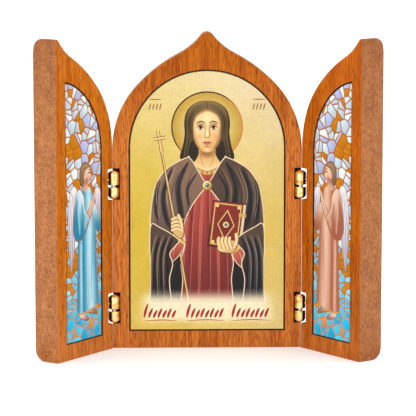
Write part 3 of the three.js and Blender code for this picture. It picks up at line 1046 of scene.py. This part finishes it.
def paintMantle(art):
    edge = mantle["edge"]
    body = [(0, 71.5), (0, 71.5), (2.2, 75), (6, 81.6), (8, 84), (8, 84), (13, 81.8), (18.4, 78),
            (22.4, 71.4), (24.2, 62), (24.7, 52), (24.1, 42), (24.5, 32), (25, 20), (25, 20), (11.6, 20),
            (11.6, 20), (10.6, 30), (11.4, 38), (9.6, 46), (10.2, 54), (6.4, 63)]
    folds = (
        ([(8, 82), (12.6, 72), (11.4, 60), (10.8, 50)], 3.0, "dark", 1),
        ([(15, 79.4), (19, 68), (17.6, 57), (13, 49)], 2.6, "dark", 1),
        ([(20.6, 74), (22.6, 64), (21.4, 56)], 1.8, "dark", 0.95),
        ([(4.4, 77), (8.4, 70), (7.6, 62)], 1.5, "dark", 0.8),
        ([(11.6, 80), (15.8, 69), (14.6, 58), (12.4, 52)], 1.3, "light", 0.85),
        ([(17.4, 78), (21, 68), (19.6, 57)], 1.2, "light", 0.8),
        ([(6, 79.6), (10.2, 71), (9.6, 62)], 0.9, "light", 0.75),
        ([(23.4, 66), (23.9, 58), (23.2, 52)], 0.8, "light", 0.7),
        ([(12.2, 44), (12.8, 34), (13.2, 21)], 1.6, "dark", 0.9),
    )
    for side, lightest, lit, deep in ((-1, "light", (-22, 70), (-10, 26)), (1, "middle", (6, 76), (24, 24))):
        art.form(mirrored(body, side), fade(mantle[lightest], mantle["dark"], lit, deep), edge, 0.42)
        for points, width, name, cover in folds:
            art.softLine(mirrored(points, side), width, mantle[name], cover)
        for points in ([(13.4, 79.6), (17.4, 69), (16.2, 58)], [(18.9, 77), (22, 68), (20.7, 57)]):
            art.line(mirrored(points, side), 0.22, edge, 0.55)
        for step in range(10):
            x = 5.6 + step * 1.75
            pleat = [(x, 79.5 - step * 0.55), (x + 3.4 - step * 0.2, 70 - step * 0.3),
                     (x + 2.6 - step * 0.1, 62 - step), (x + 0.6, 56 - step * 0.4)]
            name = ("dark", "light", "dark", "cool")[step % 4]
            art.line(mirrored(pleat, side), 0.42, mantle[name], 0.6)
    art.disc((0, 71.6), 2.3, 20, (120, 76, 34))
    art.disc((0, 71.6), 1.95, 20, fade((250, 222, 140), (190, 136, 58), (-1.4, 73), (1.4, 70)))
    art.disc((0, 71.6), 0.95, 14, (60, 110, 128))
    art.disc((-0.3, 71.9), 0.3, 8, (206, 230, 232))


def paintDrape(art, side):
    cloth = [(12.2, 47.4), (16, 50.6), (20.6, 53.2), (24.3, 54.4), (24.9, 44), (24.4, 32), (25, 20), (25, 20),
             (15.4, 20), (15.4, 20), (16.4, 30), (15, 37), (16.2, 41.6), (13.8, 45)]
    art.form(mirrored(cloth, side), fade(mantle["middle"], mantle["dark"], (side * 19, 52), (side * 20, 28)),
             mantle["edge"], 0.42)
    for x, middle, end in ((14.6, 17.6, 17.4), (17.4, 20.2, 20.2), (20.6, 22.8, 23.2)):
        art.softLine(mirrored([(x, 49), (middle, 40), (end, 21)], side), 1.8, mantle["dark"], 1)
        art.softLine(mirrored([(x + 1.3, 49.8), (middle + 1.2, 40), (end + 1.2, 21)], side), 0.9,
                     mantle["light" if side < 0 else "cool"], 0.85)
        crest = [(x + 1.6, 50), (middle + 1.5, 40), (end + 1.4, 26)]
        slope = [(x + 0.7, 50.6), (middle + 0.6, 42), (end + 0.5, 24)]
        art.line(mirrored(crest, side), 0.2, mantle["edge"], 0.5)
        art.line(mirrored(slope, side), 0.36, mantle["light"], 0.5)


def paintFinger(art, points, width):
    art.line(points, width + 0.36, skin["line"], 1, (0.85, 0.75))
    art.line(points, width, skin["light"], 1, (0.85, 0.7))


def paintPalm(art, points, tones, lit, dim, width):
    art.form(points, fade(tones["light"], tones["middle"], lit, dim), tones["line"], width)


def paintSleeve(art, points, cuff):
    cloth = fade(tunic["light"], tunic["dark"], points[0], points[len(points) // 2])
    art.form(points, cloth, mantle["edge"], 0.34)
    (x1, z1), (x2, z2) = cuff
    for width, paint in ((1.9, gold["braid"]), (1.4, (222, 182, 100))):
        art.line([cuff[0], ((x1 + x2) / 2, (z1 + z2) / 2), cuff[1]], width, paint, 1, (0.9, 0.9))


def paintStaffArm(art):
    art.line([(-8.2, 21), (-13.6, 52), (-20.4, 90)], 1.15, gold["umber"], 1, square)
    art.line([(-8.1, 21), (-13.5, 52), (-20.3, 90)], 0.62, (226, 190, 120), 1, square)
    for points in ([(-19.6, 86), (-21.3, 95.4)], [(-23.2, 91.7), (-17.7, 92.6)]):
        art.line(points, 1.5, gold["umber"], 1, square)
        art.line(points, 0.95, (236, 200, 128), 1, square)
    paintSleeve(art, [(-11.4, 50.2), (-14.6, 49.2), (-18.6, 44.8), (-21, 39.4), (-17.6, 36.6), (-12.4, 40.6),
                      (-9.8, 45.6)], ((-14.8, 50.2), (-9.9, 46)))
    for shift in (0, 1.6, 3.2):
        crease = [(-11.6 - shift, 48 - shift), (-14 - shift * 0.6, 44 - shift), (-14.4, 40 - shift * 0.4)]
        art.line(crease, 0.3, tunic["crease"], 0.6)
    paintDrape(art, -1)
    palm = [(-14.9, 51), (-15.8, 54.4), (-14.6, 57), (-11.8, 57), (-10.2, 54), (-10.2, 50), (-11.8, 48.2)]
    paintPalm(art, palm, skin, (-14, 56), (-11, 49), 0.3)
    for height in (52.2, 53.8, 55.4, 57):
        paintFinger(art, [(-10.6, height - 0.7), (-13.2, height + 0.4), (-15.6, height - 0.5)], 1.25)
    paintFinger(art, [(-10.8, 52.4), (-11.6, 56.2), (-12.6, 59)], 1.35)


book = {"middle": (8.6, 54.5), "turn": -7, "shadow": (58, 24, 22), "pages": (236, 220, 180),
        "leaves": (168, 136, 92), "field": (132, 46, 40), "lozenge": (118, 40, 38), "clasp": (214, 168, 84),
        "gem": (60, 104, 120)}


def paintBook(art):
    turn = math.radians(book["turn"])
    c, s = math.cos(turn), math.sin(turn)

    def onBook(points):
        return [(book["middle"][0] + x * c - z * s, book["middle"][1] + x * s + z * c) for x, z in points]

    def slab(x1, z1, x2, z2, paint):
        art.shape(onBook([(x1, z1), (x2, z1), (x2, z2), (x1, z2)]), paint)

    def stud(x, z, radius, points, paint):
        art.shape(onBook(ellipse((x, z), radius, points)), paint)
    slab(-7.3, -10.6, 7.6, 9.9, book["shadow"])
    slab(6.2, -10.3, 7.3, 9.3, book["pages"])
    for step in range(5):
        slab(6.35 + step * 0.19, -10.3, 6.4 + step * 0.19, 9.3, book["leaves"])
    slab(-7.0, -10.2, 6.2, 9.6, fade((150, 54, 44), (104, 34, 34), (3, 64), (12, 46)))
    slab(-6.3, -9.5, 5.5, 8.9, gold["trim"])
    slab(-5.8, -9.0, 5.0, 8.4, book["field"])
    art.shape(onBook([(-0.4, 6.4), (3.4, -0.3), (-0.4, -7), (-4.2, -0.3)]), gold["trim"])
    art.shape(onBook([(-0.4, 5.5), (2.9, -0.3), (-0.4, -6.1), (-3.7, -0.3)]), book["lozenge"])
    stud(-0.4, -0.3, 1.3, 16, gold["stud"])
    stud(-0.4, -0.3, 0.7, 12, book["gem"])
    for x, z in ((-5.1, 7.7), (4.3, 7.7), (-5.1, -8.3), (4.3, -8.3)):
        stud(x, z, 0.7, 12, gold["stud"])
    for z in (4.6, -5.2):
        slab(4.6, z - 0.7, 7.8, z + 0.7, book["clasp"])


def paintBookArm(art):
    paintBook(art)
    sleeve = [(12.6, 45.6), (16.6, 47), (21.4, 43.4), (23, 36.8), (19.4, 33.4), (13.6, 36.6), (11, 41.4)]
    paintSleeve(art, sleeve, ((15.9, 46.4), (11.3, 41.8)))
    for shift in (0, 1.6, 3.2):
        crease = [(13 + shift * 0.7, 43.6 - shift * 0.6), (15, 40 - shift), (15, 37 - shift * 0.5)]
        art.line(crease, 0.3, tunic["crease"], 0.6)
    paintDrape(art, 1)
    palm = [(12.9, 46.4), (11.2, 47.4), (6.6, 46.4), (4.4, 44.6), (5.2, 42.6), (9.4, 41.8), (12, 42.4)]
    paintPalm(art, palm, skin, (6, 46), (12, 42), 0.3)
    for x in (4.9, 6.5, 8.1, 9.7):
        paintFinger(art, [(x + 0.9, 43.6), (x - 0.1, 46.6), (x + 0.2, 49)], 1.3)
    paintFinger(art, [(11.6, 44), (12.8, 47.4), (12.5, 50.6)], 1.4)


def paintSaint():
    art = Painting(1.25, [((-8, 84), (8, 108), 0.42), ((-25, 22), (25, 84), 0.85),
                          ((-32, 9.5), (32, 19), 0.9), ((-27, 19), (27, 27), 0.55)])
    paintGround(art)
    paintTunic(art)
    paintHead(art)
    paintCollar(art)
    paintMantle(art)
    paintStaffArm(art)
    paintBookArm(art)
    paintGlow(art)
    return art


# an angel before a mosaic; across the wing's picture, 0 is its free side and 25 the hinge's

mosaic = {
    "pitch": 4.7, "joint": 0.6, "split": 0.55, "far": 27.0, "low": 4, "high": 130, "lift": 3.2, "seed": 29,
    "smallest": 0.5, "neighbours": 15, "field": ((-4, 0), (32, 0), (32, 130), (-4, 130)),
    "bed": ((-6, -2), (34, -2), (34, 132), (-6, 132)), "jointLow": (206, 134, 66), "jointHigh": (170, 98, 20),
    "sea": (18, 190, 242), "sky": (120, 206, 240), "mist": (200, 222, 236), "white": (242, 246, 248),
    "lilac": (172, 186, 228), "ochreLow": (226, 150, 78), "ochreHigh": (196, 120, 16),
}
robes = {
    "left": {"light": (210, 233, 241), "middle": (108, 186, 212), "dark": (36, 130, 166)},
    "right": {"light": (231, 197, 176), "middle": (205, 147, 120), "dark": (162, 94, 70)},
}
robeBands = ((0.04, 0.12, "dark"), (0.2, 0.05, "light"), (0.33, 0.1, "dark"), (0.5, 0.06, "middle"),
             (0.68, 0.15, "light"), (0.86, 0.05, "middle"), (0.97, 0.06, "dark"))
piping = {"robe": (164, 104, 44), "hem": (214, 158, 76), "sleeve": (184, 124, 50), "cuff": (196, 132, 60),
          "crease": (120, 74, 44)}
plumage = {"light": (230, 226, 232), "middle": (172, 168, 186), "dark": (122, 112, 126),
           "edge": (150, 110, 76), "barb": (252, 251, 252)}
pale = {"light": (238, 204, 180), "middle": (214, 168, 142), "shade": (160, 106, 84), "line": (98, 62, 46)}
crown = {"light": (168, 132, 98), "middle": (122, 90, 66), "dark": (70, 50, 38), "glint": (206, 174, 130)}


def clipped(polygon, point, normal):
    kept = []
    sides = (polygon - point) @ normal
    for i in range(len(polygon)):
        j = (i + 1) % len(polygon)
        if sides[i] <= 0:
            kept.append(polygon[i])
        if (sides[i] < 0 < sides[j]) or (sides[j] < 0 < sides[i]):
            kept.append(polygon[i] + (polygon[j] - polygon[i]) * sides[i] / (sides[i] - sides[j]))
    return np.array(kept) if len(kept) > 2 else None


def cutInTwo(cell, dice):
    middle = cell.mean(0)
    angle = dice.uniform(0, math.pi)
    normal = np.array([math.cos(angle), math.sin(angle)])
    gap = normal * mosaic["joint"] / 2
    return [clipped(cell, middle - gap, normal), clipped(cell, middle + gap, -normal)]


def mosaicPieces(dice):
    pitch = mosaic["pitch"]
    seeds = []
    for row in range(int((mosaic["high"] - mosaic["low"]) / pitch) + 2):
        for column in range(-1, int(mosaic["far"] / pitch) + 2):
            seeds.append(((column + 0.5 * (row % 2) + dice.uniform(-0.5, 0.5)) * pitch,
                          mosaic["low"] + (row + dice.uniform(-0.5, 0.5)) * pitch))
    seeds = np.array(seeds)
    pieces = []
    for seed in seeds:
        cell = np.array(mosaic["field"], float)
        nearest = seeds[np.argsort(((seeds - seed) ** 2).sum(1))[1:mosaic["neighbours"] + 1]]
        for other in nearest:
            way = other - seed
            normal = way / np.linalg.norm(way)
            cell = clipped(cell, (seed + other) / 2 - normal * mosaic["joint"] / 2, normal)
            if cell is None:
                break
        if cell is None:
            continue
        pieces += cutInTwo(cell, dice) if dice.random() < mosaic["split"] else [cell]
    return [piece for piece in pieces if piece is not None and np.ptp(piece, 0).min() > mosaic["smallest"]]


def pieceTone(height, dice):
    glass = blend(mosaic["sea"], mosaic["sky"], ease(height, 18, 40))
    glass = blend(glass, mosaic["mist"], ease(height, 40, 80))
    chance = dice.random()
    if chance < (0.25 if 40 < height < 84 else 0.17):
        return blend(mosaic["ochreLow"], mosaic["ochreHigh"], ease(height, 18, 44))
    if chance < 0.31 and height > 62:
        return np.array(mosaic["lilac"])
    if chance < 0.5:
        return blend(glass, mosaic["white"], 0.8 if height > 40 else 0.25)
    return np.minimum(glass * dice.uniform(0.9, 1.03), 255)


def paintMosaic(art):
    dice = random.Random(mosaic["seed"])
    art.shape(mosaic["bed"], fade(mosaic["jointLow"], mosaic["jointHigh"], (12, 14), (12, 50)))
    for piece in mosaicPieces(dice):
        glass = pieceTone(piece.mean(0)[1], dice)
        art.shape(piece, fade(np.minimum(glass * 1.07, 255), glass * 0.9, piece.max(0), piece.min(0)))


def paintPlumes(art):
    dark = plumage["dark"]
    art.form([(8.6, 74), (6.6, 77.6), (3.8, 76.6), (2.2, 71), (1.4, 62), (1.6, 53), (2.8, 44), (3.6, 40.6),
              (4.8, 46), (6.2, 54), (7.6, 62), (8.6, 68)],
             fade(plumage["light"], plumage["middle"], (6, 77), (3, 44)), plumage["edge"])
    for x, top, foot in ((2.4, 72, 50), (3.4, 74, 44), (4.5, 75, 45), (5.6, 75.6, 50), (6.7, 75, 56)):
        tip = (x - 3) * 0.3
        middle = (top + foot) / 2
        art.line([(x + 1.4, top), (x + 0.2, middle), (x - 0.4 + tip, foot)], 0.34, dark, 0.7)
        barb = [(x + 1.9, top - 1), (x + 0.8, middle), (x + 0.2 + tip, foot + 1)]
        art.line(barb, 0.3, plumage["barb"], 0.8)
    for x, z in ((4.4, 74.6), (5.4, 73.2), (3.6, 71.6), (5, 70), (6.4, 71.4), (7.2, 68.6)):
        art.line([(x, z + 1), (x - 0.7, z), (x - 0.5, z - 1.4)], 0.3, dark, 0.6)
    art.form([(20.6, 74.4), (23.4, 75.4), (25.4, 71), (25.8, 62), (25, 56), (23.4, 60), (21.6, 66)],
             fade(plumage["light"], plumage["middle"], (23, 75), (24, 58)), plumage["edge"])
    for x in (22.6, 23.8, 24.9):
        art.line([(x - 0.8, 73), (x, 66), (x + 0.2, 60)], 0.3, dark, 0.7)


def robeTone(robe):
    def shaded(places):
        u, z = places[:, 0], places[:, 1]
        near = 8.4 - 0.022 * (60 - z)
        far = 20.6 + 0.048 * (60 - z)
        share = (u - near) / (far - near) + 0.012 * np.sin(z * 0.16)
        made = np.tile(np.array(robe["middle"], float), (len(places), 1))
        for middle, width, name in robeBands:
            made = blend(made, robe[name], 0.85 * np.exp(-((share - middle) / width) ** 2))
        return made
    return shaded


def paintRobe(art, robe):
    gown = [(10.8, 76.4), (8.2, 74.4), (7.6, 68), (8.2, 60), (8.3, 50), (7.8, 36), (7.3, 22.4), (7.3, 22.4),
            (11, 21.8), (16, 22.4), (22.8, 24.6), (22.8, 24.6), (22.2, 38), (21.2, 52), (20.8, 62),
            (20.4, 69), (18, 75), (16, 76.6)]
    art.form(gown, robeTone(robe), piping["robe"], 0.4)
    art.line([(7.5, 22.6), (11, 22), (16, 22.6), (22.6, 24.7)], 0.55, piping["hem"], 1, square)
    for u, top, foot, name in ((10.2, 52, 25, "light"), (12.6, 58, 24, "dark"), (15.2, 60, 25, "light"),
                               (18.0, 56, 26, "dark")):
        art.softLine([(u + 0.5, top), (u, (top + foot) / 2), (u - 0.3, foot)], 0.7, robe[name], 0.5)
    art.form([(19.4, 70), (22.4, 66), (24.6, 60), (24.2, 56.4), (21.8, 56.6), (19.8, 61), (18.6, 66)],
             fade(robe["light"], robe["dark"], (21, 69), (23, 57)), piping["sleeve"])


def paintHands(art):
    palm = [(14.6, 63.4), (16, 66.4), (18, 69.6), (19.8, 73.4), (20.6, 74.4), (20.8, 72.6), (19.8, 68.4),
            (18.4, 64.8), (16.4, 61.8)]
    paintPalm(art, palm, pale, (19, 72), (16, 63), 0.28)
    art.line([(17.0, 65.4), (19.0, 69.4), (20.4, 73.6)], 0.24, pale["shade"], 0.9)
    art.line([(16.8, 67), (17.8, 69.4), (18.0, 71)], 0.85, pale["line"], 1, (0.8, 0.5))
    art.line([(16.8, 67), (17.8, 69.4), (18.0, 70.9)], 0.6, pale["light"], 1, (0.8, 0.5))


def paintSleeveNear(art, robe):
    light, dark, crease = robe["light"], robe["dark"], piping["crease"]
    art.form([(9.4, 76.2), (7, 72.6), (5.6, 66), (5.0, 60), (5.8, 55.8), (8.6, 53.6), (12.4, 55), (15.2, 59),
              (16.8, 62.6), (14.8, 65.4), (13.4, 68), (12.6, 73)], fade(light, dark, (15, 70), (6, 62)),
             piping["robe"], 0.4)
    art.softLine([(10.4, 74), (9.2, 66), (9.8, 56.4)], 2.2, light, 0.5, (0.3, 0.3))
    art.softLine([(8, 72), (7, 64), (7.4, 57.4)], 1.7, dark, 0.8)
    art.softLine([(11.4, 70), (12.2, 61.6), (11.2, 55.4)], 1.5, dark, 0.8)
    art.line([(13.6, 65), (13.4, 60.6), (12.4, 57)], 0.26, crease, 0.55)
    art.line([(8.6, 73), (7.6, 65), (7.8, 57)], 0.24, crease, 0.45)
    art.softLine([(14.4, 63.4), (13.6, 60.8), (13.2, 58)], 1.3, light, 0.5)
    art.line([(16.9, 62.4), (15.6, 60.6), (14.8, 58.8)], 0.5, piping["cuff"], 1, (0.6, 0.6))


def paintAngelHead(art):
    art.zoom = (np.array((13.6, 75.6)), 0.88)
    art.form([(12, 81), (15.6, 78.6), (16.0, 75.6), (13.4, 74.6), (10.8, 76.2), (11.4, 78.6)],
             fade(pale["middle"], pale["shade"], (15, 76), (12, 80)))
    profile = [(12, 86.4), (15.4, 87.4), (17.2, 86.4), (17.9, 84.8), (17.9, 83.5), (18.6, 82.2), (19.1, 81.5),
               (18.3, 81.0), (18.5, 80.3), (18.1, 79.9), (18.3, 79.4), (18.0, 78.4), (16.9, 77.7),
               (15.2, 78.2), (13.6, 79.6), (12.4, 82)]
    art.form(profile, fade(pale["light"], pale["middle"], (18, 84), (13, 80)), pale["line"], 0.24, 3)
    art.spot((15.4, 79.8), (1.9, 1.7), pale["shade"], 0.7)
    art.spot((16.8, 81.4), (1.3, 1.1), (230, 140, 116), 0.5)
    art.line([(15.9, 84.5), (17, 84.9), (17.8, 84.3)], 0.42, crown["dark"], 0.9)
    art.line([(16.2, 83.1), (17.1, 83.5), (17.8, 83.1)], 0.6, (60, 42, 34), 1, (0.3, 0.7))
    art.line([(16.9, 79.9), (17.6, 80.1), (18.4, 80.0)], 0.5, (166, 74, 60), 1, (0.2, 1))
    art.form([(16.6, 87.6), (14.2, 88.9), (11.4, 88.2), (9.6, 85.4), (9.3, 81.8), (9.8, 78.6), (11.2, 77.2),
              (12.2, 78.6), (12.3, 81), (12.9, 83.2), (14.2, 85.2), (17.0, 86.2)],
             fade(crown["light"], crown["middle"], (13, 89), (11, 78)), crown["dark"], 0.26)
    for points in ([(16, 87), (13, 87.6), (10.8, 84), (10.6, 79.6)],
                   [(15.2, 86.2), (12.8, 85.6), (11.6, 82.4), (11.4, 79)],
                   [(16.4, 87.4), (12.4, 88.4), (10, 84.6), (9.9, 80.4)]):
        art.line(points, 0.34, crown["dark"], 0.65)
    art.line([(15.4, 87.4), (12.6, 86.8), (11.4, 83), (11.3, 79.2)], 0.34, crown["glint"], 0.7)
    art.zoom = (np.zeros(2), 1.0)


def paintFeet(art):
    foot = [(9.8, 22.8), (9.4, 20.6), (11, 19.6), (14, 18.6), (15.6, 18.6), (15.4, 19.8), (13, 21.4),
            (12.2, 23)]
    tint = fade(pale["light"], pale["shade"], (12, 22), (14, 18))
    for shift, lift in ((6.0, 1.9), (0, 0)):
        art.form([(x + shift, z + lift) for x, z in foot], tint, pale["line"], 0.26)


def paintAngel(robe):
    art = Painting(1.3, [((6.5, 21), (24, 62), 0.8), ((9, 74), (20, 89), 0.5)])
    paintMosaic(art)
    paintPlumes(art)
    paintFeet(art)
    paintRobe(art, robe)
    paintHands(art)
    paintSleeveNear(art, robe)
    paintAngelHead(art)
    return art


makePrint(leaves["centre"], "centre_picture", paintSaint(), linenPrint)
for side, flip in (("left", 1), ("right", -1)):
    low, high = leaves[side].span(side + "_wing_picture")
    freeSide = (low.x if flip > 0 else high.x) / mm
    angel = paintAngel(robes[side])
    makePrint(leaves[side], side + "_wing_picture", angel, glossPrint, freeSide, flip, mosaic["lift"])
print("prints are painted")
